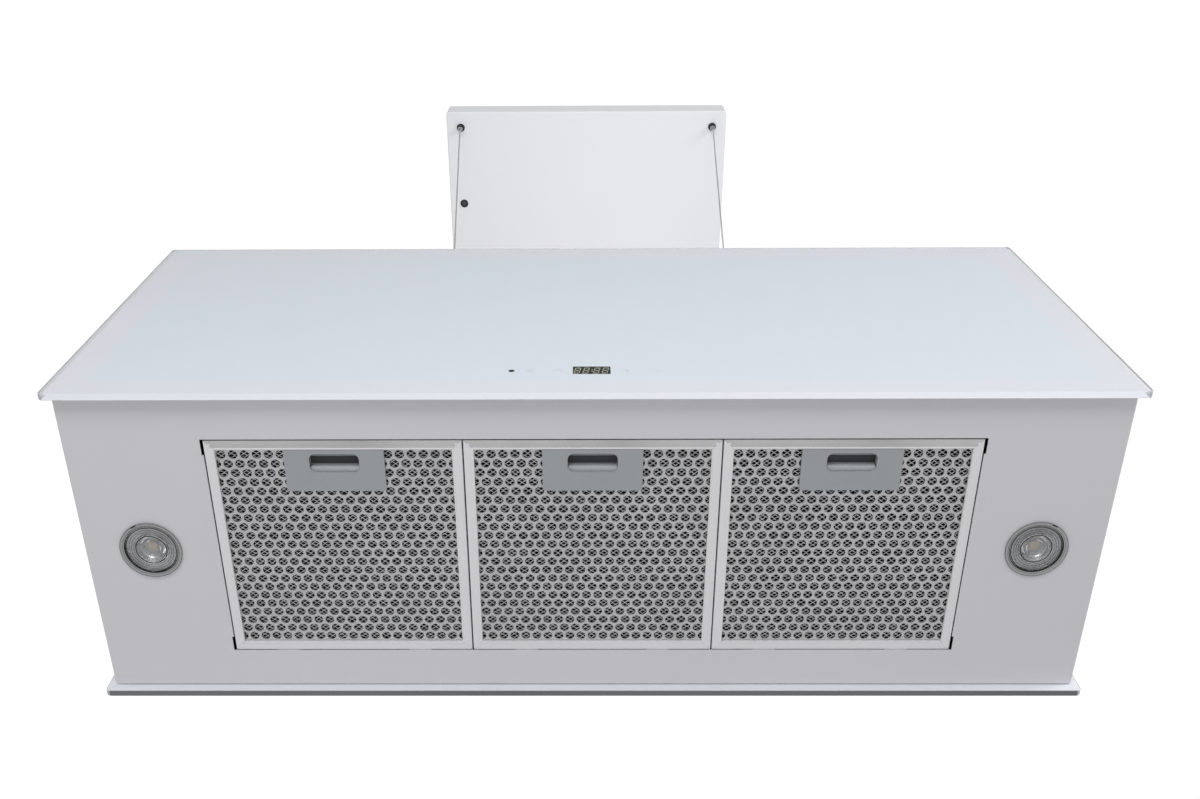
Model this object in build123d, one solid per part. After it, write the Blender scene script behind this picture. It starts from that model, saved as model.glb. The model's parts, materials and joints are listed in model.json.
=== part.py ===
from build123d import *
import os
from math import cos, pi, radians, sin

# Ceiling-hung recirculating range hood with glass front and rear panels. Millimetres, +Z up.
# Origin: centre of the ceiling mounting face. -Y is the front, where the touch keys are.

# Driving dimensions
GLASS_WIDTH = 900.0
GLASS_HEIGHT = 383.0
GLASS_THICKNESS = 6.0
GLASS_CORNER = 5.0
HOOD_DEPTH = 305.0
BODY_WIDTH = 886.4
GLASS_OVERHANG = 10.0
BOND_GAP = 1.0
SHEET = 1.2
DROP = 1168.0

CEILING_BOX_WIDTH = 450.0
CEILING_BOX_DEPTH = 295.0
CEILING_BOX_HEIGHT = 48.0
GRIPPER_X = 202.4
GRIPPER_Y = 123.0
ANCHOR_X = 150.0
ANCHOR_Y = 117.5
CABLE_RADIUS = 1.0

FILTER_COUNT = 3
FILTER_PITCH = 216.9
FILTER_WIDTH = 215.7
FILTER_DEPTH = 212.4
FILTER_HEIGHT = 11.0
FILTER_BAR = 8.5
HOLE_RADIUS = 4.0
HOLE_PITCH = 10.0
ROW_PITCH = 8.78
FIRST_ROW = 5.4
LATCH_TRAVEL = 5.0

LAMP_X = 384.8
LAMP_RADIUS = 27.0

BLOWER_HALF = 76.0
SCROLL_START_RADIUS = 82.0
SCROLL_GROWTH = 32.0
SCROLL_START = 60.0
IMPELLER_RADIUS = 72.0
BLADE_COUNT = 36

# Levels and faces that follow from the driving dimensions
GLASS_BOTTOM = -DROP
GLASS_TOP = GLASS_BOTTOM + GLASS_HEIGHT
UNDERSIDE = GLASS_BOTTOM + GLASS_OVERHANG
BODY_TOP = GLASS_TOP - GLASS_OVERHANG
ROOF = BODY_TOP - SHEET
BODY_HALF = BODY_WIDTH / 2
BODY_FRONT = HOOD_DEPTH / 2 - GLASS_THICKNESS - BOND_GAP
FLANGE = 14.0
PAN_FACE = 125.0
FILTER_FRONT = -105.4
FILTER_REAR = FILTER_FRONT + FILTER_DEPTH
OPENING_FRONT = FILTER_FRONT - 1.2
OPENING_REAR = FILTER_REAR + 0.7
OPENING_HALF = FILTER_PITCH + FILTER_WIDTH / 2 + 0.8
CORNER_RELIEF = (1.6, 15.0)
KEY_ROW = UNDERSIDE + 40.0
BLOWER_Z = UNDERSIDE + 195.0
THROAT_TOP = BLOWER_Z + 125.0
SIDES = (-1, 1)


def block(x0, x1, y0, y1, z0, z1):
    """A box between two corners."""
    centre = Pos((x0 + x1) / 2, (y0 + y1) / 2, (z0 + z1) / 2)
    return centre * Box(abs(x1 - x0), abs(y1 - y0), abs(z1 - z0))


def rod_z(radius, x, y, z0, z1):
    """A cylinder along Z."""
    return Pos(x, y, (z0 + z1) / 2) * Cylinder(radius, abs(z1 - z0))


def rod_x(radius, x0, x1, y=0.0, z=0.0):
    """A cylinder along X."""
    return Pos((x0 + x1) / 2, y, z) * Rot(0, 90, 0) * Cylinder(radius, abs(x1 - x0))


def ring_z(outer, inner, x, y, z0, z1):
    """A tube along Z."""
    return rod_z(outer, x, y, z0, z1) - rod_z(inner, x, y, z0 - 1, z1 + 1)


def join(shapes):
    """One solid out of several overlapping ones."""
    result = shapes[0]
    for shape in shapes[1:]:
        result = result + shape
    return result


def corners(x, y):
    """The four points of a centred rectangle."""
    return [(side_x * x, side_y * y) for side_x in SIDES for side_y in SIDES]


def save(node, shapes):
    """Writes one node, as a single solid or as a group of separate ones."""
    if isinstance(shapes, list):
        shapes = Compound(children=[solid for shape in shapes for solid in shape.solids()])
    export_step(shapes, f"parts/{node}.step")


# Ceiling unit

def ceiling_bracket():
    half_x = CEILING_BOX_WIDTH / 2 - SHEET - 0.5
    half_y = 138.0
    plate = block(-half_x, half_x, -half_y, half_y, -2.5, 0)
    flanges = [block(side * half_x, side * (half_x - 2), -120, 120, -32, -1) for side in SIDES]
    bracket = join([plate] + flanges)
    for x, y in corners(160, 90):
        bracket -= rod_z(4.0, x, y, -3, 1)
    bracket -= rod_z(25.0, -120, 0, -3, 1)
    for x, y in corners(half_x - 1, 80):
        bracket -= rod_x(2.05, x - 3, x + 3, y, -20)
    return bracket


def ceiling_box_cover():
    half_x = CEILING_BOX_WIDTH / 2
    half_y = CEILING_BOX_DEPTH / 2
    outer = block(-half_x, half_x, -half_y, half_y, -CEILING_BOX_HEIGHT, -0.5)
    outer = fillet(outer.edges().filter_by(Axis.Z), 5.0)
    outer = fillet(outer.faces().sort_by(Axis.Z)[0].edges(), 2.0)
    inside_x = half_x - SHEET
    inside_y = half_y - SHEET
    inner = block(-inside_x, inside_x, -inside_y, inside_y, SHEET - CEILING_BOX_HEIGHT, 5)
    inner = fillet(inner.edges().filter_by(Axis.Z), 5.0 - SHEET)
    cover = outer - inner
    for x, y in corners(GRIPPER_X, GRIPPER_Y):
        cover -= rod_z(5.3, x, y, -CEILING_BOX_HEIGHT - 1, -CEILING_BOX_HEIGHT + 3)
    cover -= rod_z(5.05, -GRIPPER_X, 0, -CEILING_BOX_HEIGHT - 1, -CEILING_BOX_HEIGHT + 3)
    for x, y in corners(half_x, 80):
        cover -= rod_x(2.2, x - 3, x + 3, y, -20)
    return cover


def cover_screw(x, y):
    side = 1 if x > 0 else -1
    head = rod_x(3.8, x, x + side * 2.2, y, -20)
    head = fillet(head.faces().sort_by(Axis.X)[-1 if side > 0 else 0].edges(), 1.2)
    shank = rod_x(2.0, x - side * 5.5, x + side * 0.5, y, -20)
    return head + shank


def gripper_body(x, y):
    barrel = rod_z(7.0, x, y, -40, -2.5)
    neck = rod_z(5.0, x, y, -55, -39)
    neck = fillet(neck.faces().sort_by(Axis.Z)[0].edges(), 0.6)
    body = barrel + neck
    body -= rod_z(1.5, x, y, -56, -8)
    body -= rod_z(3.08, x, y, -56, -43.5)
    return body


def gripper_nipple(x, y):
    sleeve = rod_z(3.0, x, y, -62, -47)
    sleeve = fillet(sleeve.faces().sort_by(Axis.Z)[0].edges(), 0.8)
    collar = ring_z(3.9, 2.5, x, y, -59.5, -58)
    return sleeve + collar - rod_z(1.5, x, y, -63, -46)


def suspension_cable(x, y):
    end_x = ANCHOR_X if x > 0 else -ANCHOR_X
    end_y = ANCHOR_Y if y > 0 else -ANCHOR_Y
    route = FilletPolyline(
        (x, y, -14), (x, y, -66), (end_x, end_y, BODY_TOP + 28), (end_x, end_y, BODY_TOP + 9), radius=60
    )
    return sweep(Plane(origin=route @ 0, z_dir=route % 0) * Circle(CABLE_RADIUS), path=route)


def cable_anchor(x, y):
    base = rod_z(10.0, x, y, BODY_TOP, BODY_TOP + 3)
    base = chamfer(base.faces().sort_by(Axis.Z)[-1].edges(), 0.6)
    barrel = rod_z(6.0, x, y, BODY_TOP + 2, BODY_TOP + 24)
    barrel = fillet(barrel.faces().sort_by(Axis.Z)[-1].edges(), 1.5)
    return base + barrel - rod_z(1.3, x, y, BODY_TOP + 8, BODY_TOP + 25)


def cable_entry_grommet():
    x = -GRIPPER_X
    low = -CEILING_BOX_HEIGHT
    flange = rod_z(6.5, x, 0, low - 1.8, low)
    flange = fillet(flange.faces().sort_by(Axis.Z)[0].edges(), 0.8)
    neck = rod_z(5.0, x, 0, low - 0.5, low + SHEET + 0.5)
    top = rod_z(6.5, x, 0, low + SHEET, low + SHEET + 1.4)
    return join([flange, neck, top]) - rod_z(3.5, x, 0, low - 3, low + 5)


def mains_terminal_block():
    body = block(40, 80, -11, 11, -20.5, -2.5)
    for index in range(3):
        x = 47.0 + 13.0 * index
        body -= rod_z(2.0, x, 5, -21, -12)
        body -= rod_z(2.0, x, -5, -21, -12)
    return body


# Hood body

def body_casing():
    outer = block(-BODY_HALF, BODY_HALF, -BODY_FRONT, BODY_FRONT, UNDERSIDE, ROOF)
    bends = outer.edges().filter_by(Axis.Y).group_by(Axis.Z)[0]
    outer = fillet(bends, 2.5)
    half_x = BODY_HALF - SHEET
    half_y = BODY_FRONT - SHEET
    inner = block(-half_x, half_x, -half_y, half_y, UNDERSIDE + SHEET, ROOF + 5)
    inner = fillet(inner.edges().filter_by(Axis.Y).group_by(Axis.Z)[0], 2.5 - SHEET)
    casing = outer - inner
    window = BODY_HALF - FLANGE
    casing -= block(-window, window, -BODY_FRONT - 1, BODY_FRONT + 1, UNDERSIDE + FLANGE, ROOF + 5)
    for side in SIDES:
        edge = side * (BODY_HALF - 0.5)
        casing += block(edge, side * (BODY_HALF - 16), -half_y, half_y, ROOF - SHEET, ROOF)
        casing -= rod_z(24.2, side * LAMP_X, 0, UNDERSIDE - 1, UNDERSIDE + 3)
        for y in (-100, 0, 100):
            casing -= rod_z(2.05, side * (BODY_HALF - 8), y, ROOF - 3, ROOF + 1)
    casing -= block(-OPENING_HALF, OPENING_HALF, OPENING_FRONT, OPENING_REAR, UNDERSIDE - 1, UNDERSIDE + 3)
    width, length = CORNER_RELIEF
    wide = OPENING_HALF + width
    casing -= block(-wide, wide, OPENING_FRONT, OPENING_FRONT + length, UNDERSIDE - 1, UNDERSIDE + 3)
    casing -= block(-wide, wide, OPENING_REAR - length, OPENING_REAR, UNDERSIDE - 1, UNDERSIDE + 3)
    return casing


def top_panel():
    panel = block(-BODY_HALF, BODY_HALF, -BODY_FRONT, BODY_FRONT, ROOF, BODY_TOP)
    for side in SIDES:
        y = side * BODY_FRONT
        panel += block(-BODY_HALF + 20, BODY_HALF - 20, y, y - side * SHEET, ROOF - FLANGE, ROOF + 0.5)
    slots = GridLocations(56, 12, 5, 12) * SlotOverall(46, 5.5)
    panel -= extrude(Pos(0, 0, ROOF - 1) * Sketch(children=slots), SHEET + 2)
    for x, y in corners(BODY_HALF - 8, 100) + corners(BODY_HALF - 8, 0)[::2]:
        panel -= rod_z(2.05, x, y, ROOF - 1, BODY_TOP + 1)
    return panel


def top_panel_screw(x, y):
    head = rod_z(3.8, x, y, BODY_TOP, BODY_TOP + 2.2)
    head = fillet(head.faces().sort_by(Axis.Z)[-1].edges(), 1.2)
    return head + rod_z(2.0, x, y, BODY_TOP - 7, BODY_TOP + 0.5)


def glass_panel(side):
    outer_y = side * HOOD_DEPTH / 2
    inner_y = outer_y - side * GLASS_THICKNESS
    half = GLASS_WIDTH / 2
    panel = block(-half, half, outer_y, inner_y, GLASS_BOTTOM, GLASS_TOP)
    panel = fillet(panel.edges().filter_by(Axis.Y), GLASS_CORNER)
    faces = panel.faces().sort_by(Axis.Y)
    return chamfer(faces[0].edges() + faces[-1].edges(), 0.6)


def bonding_tapes():
    tapes = []
    for side in SIDES:
        face = side * BODY_FRONT
        back = face + side * BOND_GAP
        tapes.append(block(-426, 426, face, back, UNDERSIDE + 1.5, UNDERSIDE + 12.5))
        tapes.append(block(-420, 420, face, back, ROOF - 12, ROOF - 1))
        for end in SIDES:
            tapes.append(block(end * 430, end * 441, face, back, UNDERSIDE + 20, ROOF - 20))
    return tapes


def hanging_rail(side):
    glass = side * (HOOD_DEPTH / 2 - GLASS_THICKNESS)
    web = block(-300, 300, glass, glass - side * 2, ROOF - 60, ROOF - 30)
    lip = block(-300, 300, glass - side * 1.5, glass - side * 8, ROOF - 60, ROOF - 58)
    return web + lip


def inner_panel(side):
    face = side * PAN_FACE
    outer = side * (BODY_FRONT - SHEET)
    half = BODY_HALF - SHEET - 0.3
    low = UNDERSIDE + SHEET
    high = ROOF - SHEET - 0.2
    shell = block(-half, half, face, outer, low, high)
    shell = fillet(shell.edges().filter_by(Axis.Y).group_by(Axis.Z)[0], 2.5)
    return shell - block(-half + 1, half - 1, face + side, outer + side * 5, low + 1, high - 1)


def filter_seat_rail():
    return block(-OPENING_HALF, OPENING_HALF, OPENING_FRONT, 0.2 - PAN_FACE, UNDERSIDE + SHEET, UNDERSIDE + 3)


# Blower

def scroll_profile(extra):
    """The volute outline in the Y-Z plane, grown outward by extra, with its throat facing up."""
    start = radians(SCROLL_START)
    points = []
    for step in range(21):
        angle = start + (2 * pi - start) * step / 20
        radius = SCROLL_START_RADIUS + extra + SCROLL_GROWTH * step / 20
        points.append((radius * cos(angle), radius * sin(angle)))
    top = THROAT_TOP - BLOWER_Z
    curve = Spline(*points)
    throat = Polyline(points[-1], (points[-1][0], top), (points[0][0] - 2 * extra, top), points[0])
    return make_face([curve, throat])


def scroll_body(extra, x0, x1):
    """The volute outline drawn out along X from x0 to x1."""
    plane = Plane(origin=(x0, 0, BLOWER_Z), x_dir=(0, 1, 0), z_dir=(1, 0, 0))
    return extrude(plane * scroll_profile(extra), x1 - x0)


def blower_housing(side):
    wall = 1.5
    low, high = sorted((0.0, side * BLOWER_HALF))
    outer = scroll_body(wall, low, high)
    inner_low, inner_high = sorted((-side * 5.0, side * (BLOWER_HALF - wall)))
    inner = scroll_body(0, inner_low, inner_high)
    mouth = block(low - 5 if side < 0 else -5, high + 5 if side > 0 else 5, 43, 112, THROAT_TOP - 4, THROAT_TOP + 4)
    inside_mouth = mouth & block(inner_low, inner_high, -200, 200, THROAT_TOP - 9, THROAT_TOP + 9)
    housing = outer - inner - inside_mouth
    housing -= rod_x(62.0, side * (BLOWER_HALF - 5), side * (BLOWER_HALF + 5), 0, BLOWER_Z)
    for index in range(3):
        angle = 30 + 120 * index
        foot = block(-5, 5, 81.5, 85, 0, 10.5)
        lip = block(-5, 5, 76.2, 85, 8.0, 10.5)
        hook = Rot(0, 0, angle) * (foot + lip)
        turn = Rot(0, 90, 0) if side > 0 else Rot(0, -90, 0)
        housing += Pos(side * (BLOWER_HALF - 0.2), 0, BLOWER_Z) * turn * hook
    return housing


def blower_motor():
    can = rod_x(42.0, -70, -10, 0, BLOWER_Z)
    can = fillet(can.edges(), 4.0)
    flange = rod_x(30.0, -BLOWER_HALF, -69, 0, BLOWER_Z)
    return can + flange - rod_x(4.06, -72, -5, 0, BLOWER_Z)


def motor_bracket():
    plate = rod_x(38.0, -BLOWER_HALF - 2, -BLOWER_HALF, 0, BLOWER_Z)
    for index in range(3):
        arm = block(-2, 0, -9, 9, 30, 74)
        plate += Pos(-BLOWER_HALF, 0, BLOWER_Z) * Rot(90 + 120 * index, 0, 0) * arm
    return plate


def motor_shaft():
    return rod_x(4.0, -68, 13, 0, BLOWER_Z)


def impeller():
    wheel = rod_x(IMPELLER_RADIUS, -1, 1, 0, BLOWER_Z) + rod_x(9.0, -8, 13, 0, BLOWER_Z)
    for side in SIDES:
        rim = rod_x(IMPELLER_RADIUS, side * 64, side * 66, 0, BLOWER_Z)
        wheel += rim - rod_x(60.0, side * 63, side * 67, 0, BLOWER_Z)
    blade = block(-65, 65, 60.5, IMPELLER_RADIUS - 0.7, -0.5, 0.5)
    lean = Pos(0, 66, 0) * Rot(25, 0, 0) * Pos(0, -66, 0)
    for index in range(BLADE_COUNT):
        turn = Rot(360 / BLADE_COUNT * index, 0, 0)
        wheel += Pos(0, 0, BLOWER_Z) * turn * lean * blade
    return wheel - rod_x(4.02, -20, 20, 0, BLOWER_Z)


def charcoal_filter(side):
    near = side * (BLOWER_HALF + 4.5)
    far = near + side * 24
    disc = rod_x(74.0, near, far, 0, BLOWER_Z)
    disc = fillet(disc.faces().sort_by(Axis.X)[-1 if side > 0 else 0].edges(), 3.0)
    for count, radius in ((12, 52), (6, 27)):
        for index in range(count):
            angle = 2 * pi * index / count
            y = radius * cos(angle)
            z = BLOWER_Z + radius * sin(angle)
            disc -= rod_x(9.0, far - side * 4, far + side, y, z)
    lug = block(-6, 6, 72, 79.5, 0, 2.5)
    turn = Rot(0, 90, 0) if side > 0 else Rot(0, -90, 0)
    for index in range(3):
        place = Pos(near, 0, BLOWER_Z) * turn * Rot(0, 0, 30 + 120 * index)
        disc += place * lug
    return disc


def outlet_plenum():
    low = THROAT_TOP + 0.2
    shell = block(-155, 155, -90, 118, low, ROOF)
    shell -= block(-154, 154, -89, 117, low + 1, ROOF + 1)
    inner_half = BLOWER_HALF - 1.5
    return shell - block(-inner_half, inner_half, 43, 112, low - 1, low + 3)


def run_capacitor():
    can = rod_z(16.0, -230, 40, ROOF - 62, ROOF)
    can = fillet(can.faces().sort_by(Axis.Z)[0].edges(), 2.0)
    tabs = [block(x - 3, x + 3, 39.6, 40.4, ROOF - 70, ROOF - 61) for x in (-236, -224)]
    return join([can] + tabs)


def power_supply_unit():
    box = block(200, 340, -50, 50, ROOF - 40, ROOF)
    box = fillet(box.edges().filter_by(Axis.Z), 4.0)
    sockets = [block(198, 201, y, y + 14, ROOF - 30, ROOF - 20) for y in (-36, -12, 12)]
    return join([box] + sockets)


# Controls

def control_board():
    back = -HOOD_DEPTH / 2 + GLASS_THICKNESS
    board = block(-86, 74, back + 4.4, back + 6.0, KEY_ROW - 17, KEY_ROW + 15)
    eye = block(-71, -65.4, back + 0.3, back + 4.5, KEY_ROW - 3, KEY_ROW + 3)
    keys = [rod_z(3.5, x, 0, 0.3, 4.5) for x in (-52.7, -29.7, 29.0, 55.0)]
    keys = [Pos(0, back, KEY_ROW) * Rot(-90, 0, 0) * key for key in keys]
    plug = block(30, 50, back + 5.9, back + 12, KEY_ROW + 5, KEY_ROW + 13)
    return join([board, eye, plug] + keys)


def display_module():
    back = -HOOD_DEPTH / 2 + GLASS_THICKNESS
    return block(-16.5, 15.1, back + 0.2, back + 4.4, KEY_ROW - 7, KEY_ROW + 9)


# Lamps

def lamp_bezel(side):
    x = side * LAMP_X
    flange = rod_z(LAMP_RADIUS, x, 0, UNDERSIDE - 1.8, UNDERSIDE)
    flange = fillet(flange.faces().sort_by(Axis.Z)[0].edges(), 1.1)
    sleeve = rod_z(23.9, x, 0, UNDERSIDE - 1, UNDERSIDE + 12)
    bezel = flange + sleeve - rod_z(23.0, x, 0, UNDERSIDE - 3, UNDERSIDE + 13)
    return bezel - block(x - 2.2, x + 2.2, -LAMP_RADIUS - 1, -LAMP_RADIUS + 2.0, UNDERSIDE - 3, UNDERSIDE - 0.7)


def lamp_lens(side):
    x = side * LAMP_X
    disc = rod_z(22.7, x, 0, UNDERSIDE - 0.6, UNDERSIDE + 2.4)
    collimator = Pos(x, 0, UNDERSIDE + 4.1) * Cone(14.6, 9.0, 3.6)
    return disc + collimator


def lamp_led_board(side):
    x = side * LAMP_X
    return rod_z(17.0, x, 0, UNDERSIDE + 7.6, UNDERSIDE + 9) + rod_z(5.0, x, 0, UNDERSIDE + 6.4, UNDERSIDE + 8)


def lamp_heatsink(side):
    x = side * LAMP_X
    sink = rod_z(22.8, x, 0, UNDERSIDE + 9, UNDERSIDE + 12) + rod_z(20, x, 0, UNDERSIDE + 11, UNDERSIDE + 30)
    for index in range(-3, 4):
        centre = x + 5.4 * index
        sink -= block(centre - 1.6, centre + 1.6, -25, 25, UNDERSIDE + 15, UNDERSIDE + 31)
    return sink


def lamp_clip(side, end):
    outline = Polyline(
        (24.0, 3), (24.6, 3), (24.6, 10.2), (36.4, 1.3), (36.9, 1.9), (25.0, 11), (24.0, 11), close=True
    )
    plane = Plane(origin=(side * LAMP_X - 5, 0, UNDERSIDE), x_dir=(0, 1, 0), z_dir=(1, 0, 0))
    clip = extrude(plane * make_face(outline), 10)
    return clip if end > 0 else mirror(clip, about=Plane.XZ)


# Grease filters: all in a frame whose Z starts at the underside and whose X is centred on the filter

def filter_frame():
    half = FILTER_WIDTH / 2
    web = 1.2
    frame = block(-half, half, FILTER_FRONT, FILTER_REAR, 0, FILTER_HEIGHT)
    inner = half - FILTER_BAR
    frame -= block(-inner, inner, FILTER_FRONT + FILTER_BAR, FILTER_REAR - FILTER_BAR, -1, FILTER_HEIGHT + 1)
    frame -= block(-half + web, half - web, FILTER_FRONT + web, FILTER_REAR - web, 3, FILTER_HEIGHT - 1)
    for side in SIDES:
        frame -= block(side * 22.9, side * 28.9, FILTER_FRONT - 1, FILTER_FRONT + 2, 3.1, 5.6)
        frame += block(side * 50, side * 70, FILTER_REAR - 0.6, FILTER_REAR + 6, 1.5, 2.9)
    return frame


def hole_places():
    """Centres of the staggered holes in a filter's face sheet, leaving out those under the latch."""
    first_row = FILTER_FRONT + FIRST_ROW
    places = []
    for row in range(23):
        y = first_row + ROW_PITCH * row
        shift = 0.0 if row % 2 == 0 else HOLE_PITCH / 2
        for column in range(-10, 11):
            x = HOLE_PITCH * column + shift
            if abs(x) <= 100.1 and not (abs(x) < 37 and y < -58):
                places.append((x, y))
    return places


def latch_notch(z0, z1):
    return block(-31.4, 31.4, FILTER_FRONT - 1, -57.2, z0, z1)


def filter_face_sheet():
    half = FILTER_WIDTH / 2 - 1.5
    low = FILTER_FRONT + 1.5
    high = FILTER_REAR - 1.5
    sheet = Pos(0, (low + high) / 2) * Rectangle(2 * half, high - low)
    sheet -= Sketch(children=[Pos(x, y) * Circle(HOLE_RADIUS) for x, y in hole_places()])
    solid = extrude(Pos(0, 0, 3.05) * sheet, 0.8)
    solid += block(-40, 40, -61, -56.6, 3.05, 3.85)
    return solid - latch_notch(2, 5)


def filter_core():
    half = FILTER_WIDTH / 2 - 1.5
    core = block(-half, half, FILTER_FRONT + 1.5, FILTER_REAR - 1.5, 3.95, 9.9)
    return core - latch_notch(3, 12)


def latch_plate():
    plate = block(-42.2, 42.2, -96.7, -57.6, 0.6, 3.0)
    plate = fillet(plate.edges().filter_by(Axis.Z).group_by(Axis.Y)[-1], 2.0)
    housing = block(-31, 31, -96.5, -57.6, 2.9, 9.8)
    housing -= block(-29.8, 29.8, -95.3, -58.8, 3.0, 8.8)
    body = plate + housing
    for side in SIDES:
        body += block(side * 21.2, side * 22.4, -95.4, -80.0, 2.9, 8.9)
        body -= block(side * 22.9, side * 28.9, -97, -95, 3.05, 5.6)
    ramp = Polyline((-95.4, 2.9), (-92.6, 2.9), (-86.8, 8.9), (-95.4, 8.9), close=True)
    ramp_plane = Plane(origin=(-21.3, 0, 0), x_dir=(0, 1, 0), z_dir=(1, 0, 0))
    body += extrude(ramp_plane * make_face(ramp), 42.6)
    opening = Pos(0, -83.7, 0) * RectangleRounded(42.0, 17.8, 5.5)
    return body - extrude(opening, 3.05)


def latch_slider():
    grip = block(-20.6, 20.6, -79.0, -76.0, 3.3, 8.3)
    grip = fillet(grip.edges().filter_by(Axis.X).sort_by(Axis.Y)[0], 1.2)
    cross = block(-28.4, 28.4, -76.4, -74.4, 3.3, 8.3)
    arms = [block(side * 23.4, side * 28.4, FILTER_FRONT - 4.6, -75, 3.3, 5.3) for side in SIDES]
    return join([grip, cross] + arms)


def latch_spring():
    coil = Helix(pitch=2.5, height=15.0, radius=2.2)
    wire = sweep(Plane(origin=coil @ 0, z_dir=coil % 0) * Circle(0.25), path=coil)
    return Pos(0, -74.4 + 0.3, 5.9) * Rot(-90, 0, 0) * wire


def save_ceiling_unit():
    half_x = CEILING_BOX_WIDTH / 2
    save("ceiling_bracket", ceiling_bracket())
    save("ceiling_box_cover", ceiling_box_cover())
    save("ceiling_cover_screws", [cover_screw(x, y) for x, y in corners(half_x, 80)])
    save("cable_gripper_bodies", [gripper_body(x, y) for x, y in corners(GRIPPER_X, GRIPPER_Y)])
    for side_x, name_x in ((-1, "left"), (1, "right")):
        for side_y, name_y in ((-1, "front"), (1, "rear")):
            save(f"gripper_nipple_{name_y}_{name_x}", gripper_nipple(side_x * GRIPPER_X, side_y * GRIPPER_Y))
    save("suspension_cables", [suspension_cable(x, y) for x, y in corners(GRIPPER_X, GRIPPER_Y)])
    save("cable_anchors", [cable_anchor(x, y) for x, y in corners(ANCHOR_X, ANCHOR_Y)])
    save("cable_entry_grommet", cable_entry_grommet())
    save("mains_terminal_block", mains_terminal_block())


def save_hood_body():
    save("body_casing", body_casing())
    save("top_panel", top_panel())
    screw_places = corners(BODY_HALF - 8, 100) + corners(BODY_HALF - 8, 0)[::2]
    save("top_panel_screws", [top_panel_screw(x, y) for x, y in screw_places])
    save("front_glass", glass_panel(-1))
    save("rear_glass", glass_panel(1))
    save("glass_bonding_tapes", bonding_tapes())
    save("glass_hanging_rails", [hanging_rail(side) for side in SIDES])
    save("front_inner_panel", inner_panel(-1))
    save("rear_inner_panel", inner_panel(1))
    save("filter_seat_rail", filter_seat_rail())
    save("control_board", control_board())
    save("display_module", display_module())
    save("power_supply_unit", power_supply_unit())


def save_blower():
    save("blower_housing_left", blower_housing(-1))
    save("blower_housing_right", blower_housing(1))
    save("blower_motor", blower_motor())
    save("motor_bracket", motor_bracket())
    save("motor_shaft", motor_shaft())
    save("impeller", impeller())
    save("run_capacitor", run_capacitor())
    save("outlet_plenum", outlet_plenum())
    save("charcoal_filter_left", charcoal_filter(-1))
    save("charcoal_filter_right", charcoal_filter(1))


def save_lamps():
    for side, name in ((-1, "left"), (1, "right")):
        save(f"lamp_bezel_{name}", lamp_bezel(side))
        save(f"lamp_lens_{name}", lamp_lens(side))
    save("lamp_led_boards", [lamp_led_board(side) for side in SIDES])
    save("lamp_heatsinks", [lamp_heatsink(side) for side in SIDES])
    save("lamp_spring_clips", [lamp_clip(side, end) for side in SIDES for end in SIDES])


def save_grease_filters():
    pieces = {
        "frame": filter_frame(),
        "face_sheet": filter_face_sheet(),
        "core": filter_core(),
        "latch_plate": latch_plate(),
        "latch_slider": latch_slider(),
        "latch_spring": latch_spring(),
    }
    for index, name in enumerate(("left", "middle", "right")):
        place = Pos(FILTER_PITCH * (index - 1), 0, UNDERSIDE)
        for piece, solid in pieces.items():
            save(f"filter_{name}_{piece}", place * solid)


os.makedirs("parts", exist_ok=True)
save_ceiling_unit()
save_hood_body()
save_blower()
save_lamps()
save_grease_filters()
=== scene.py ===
import json
import math
import random

import bmesh
import bpy
from mathutils import Matrix, Vector, noise


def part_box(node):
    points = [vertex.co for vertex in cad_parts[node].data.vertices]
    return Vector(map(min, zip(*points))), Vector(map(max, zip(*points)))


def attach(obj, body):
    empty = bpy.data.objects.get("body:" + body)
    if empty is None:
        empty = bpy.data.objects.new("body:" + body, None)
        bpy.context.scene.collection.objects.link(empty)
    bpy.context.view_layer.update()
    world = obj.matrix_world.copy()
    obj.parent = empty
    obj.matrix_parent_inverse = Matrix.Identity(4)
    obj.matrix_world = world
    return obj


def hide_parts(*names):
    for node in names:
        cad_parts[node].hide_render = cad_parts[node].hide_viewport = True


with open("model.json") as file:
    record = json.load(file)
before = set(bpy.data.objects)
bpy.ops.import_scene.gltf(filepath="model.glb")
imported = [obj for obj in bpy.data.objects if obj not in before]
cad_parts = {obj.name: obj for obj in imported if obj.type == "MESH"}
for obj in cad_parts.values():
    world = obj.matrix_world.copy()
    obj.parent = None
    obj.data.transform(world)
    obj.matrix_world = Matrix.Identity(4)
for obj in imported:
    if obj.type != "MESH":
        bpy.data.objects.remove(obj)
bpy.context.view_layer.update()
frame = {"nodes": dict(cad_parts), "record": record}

MM = 0.001
SIDES = ((-1, "left"), (1, "right"))
FILTERS = ("left", "middle", "right")


# Mesh helpers

class Shell:
    """Collects vertices and faces of one piece, in metres."""

    def __init__(self):
        self.verts = []
        self.faces = []
        self.marks = []

    def add(self, verts, faces, mark=0):
        base = len(self.verts)
        self.verts += [tuple(v) for v in verts]
        self.faces += [tuple(base + i for i in face) for face in faces]
        self.marks += [mark] * len(faces)

    def add_bmesh(self, bm, mark=0):
        bm.verts.index_update()
        self.add([v.co for v in bm.verts], [[v.index for v in f.verts] for f in bm.faces], mark)
        bm.free()

    def mesh(self, name, materials, sharp=35):
        data = bpy.data.meshes.new(name)
        data.from_pydata(self.verts, [], self.faces)
        for material in materials:
            data.materials.append(material)
        data.polygons.foreach_set("material_index", self.marks)
        data.validate()
        data.update()
        shade(data, sharp)
        return data


def shade(data, sharp):
    data.shade_smooth()
    data.set_sharp_from_angle(angle=math.radians(sharp))


def piece(name, data, body, stands_for=(), location=(0, 0, 0)):
    """Links a mesh as a piece that rides on a body."""
    obj = bpy.data.objects.new(name, data)
    bpy.context.scene.collection.objects.link(obj)
    obj.location = location
    bpy.context.view_layer.update()
    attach(obj, body)
    if stands_for:
        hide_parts(*stands_for)
    return obj


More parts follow.
